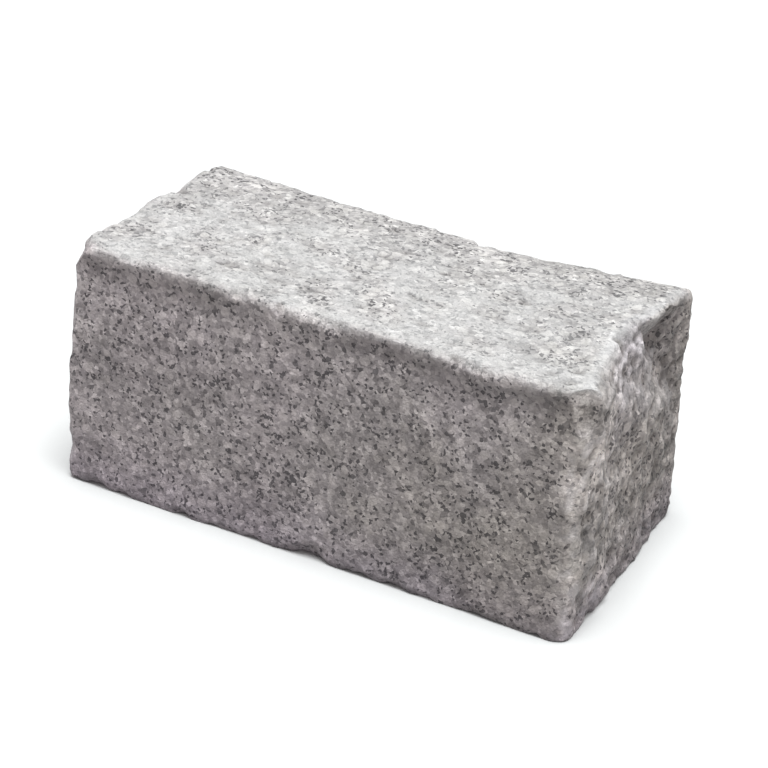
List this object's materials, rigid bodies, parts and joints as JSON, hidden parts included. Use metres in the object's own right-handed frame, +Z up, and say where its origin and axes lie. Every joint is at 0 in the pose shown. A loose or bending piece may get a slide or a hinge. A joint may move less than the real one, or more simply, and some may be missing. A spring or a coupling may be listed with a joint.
{
  "type": "granite kerb stone",
  "caption": "Split granite block for kerbs, edging and dry-laid walls, with rough broken faces, chipped arrises and a flat dressed bed.",
  "frame": {"origin": "middle of the stone's outline in plan, on the plane of its bed", "axes": "+X along the stone's length towards its free end, -Y out of its face side, +Z up"},
  "size_m": [0.405, 0.2236, 0.1896],
  "materials": {
    "granite": "split, rough"
  },
  "bodies": {
    "root": {"kerb_stone": "granite"}
  },
  "joints": []
}
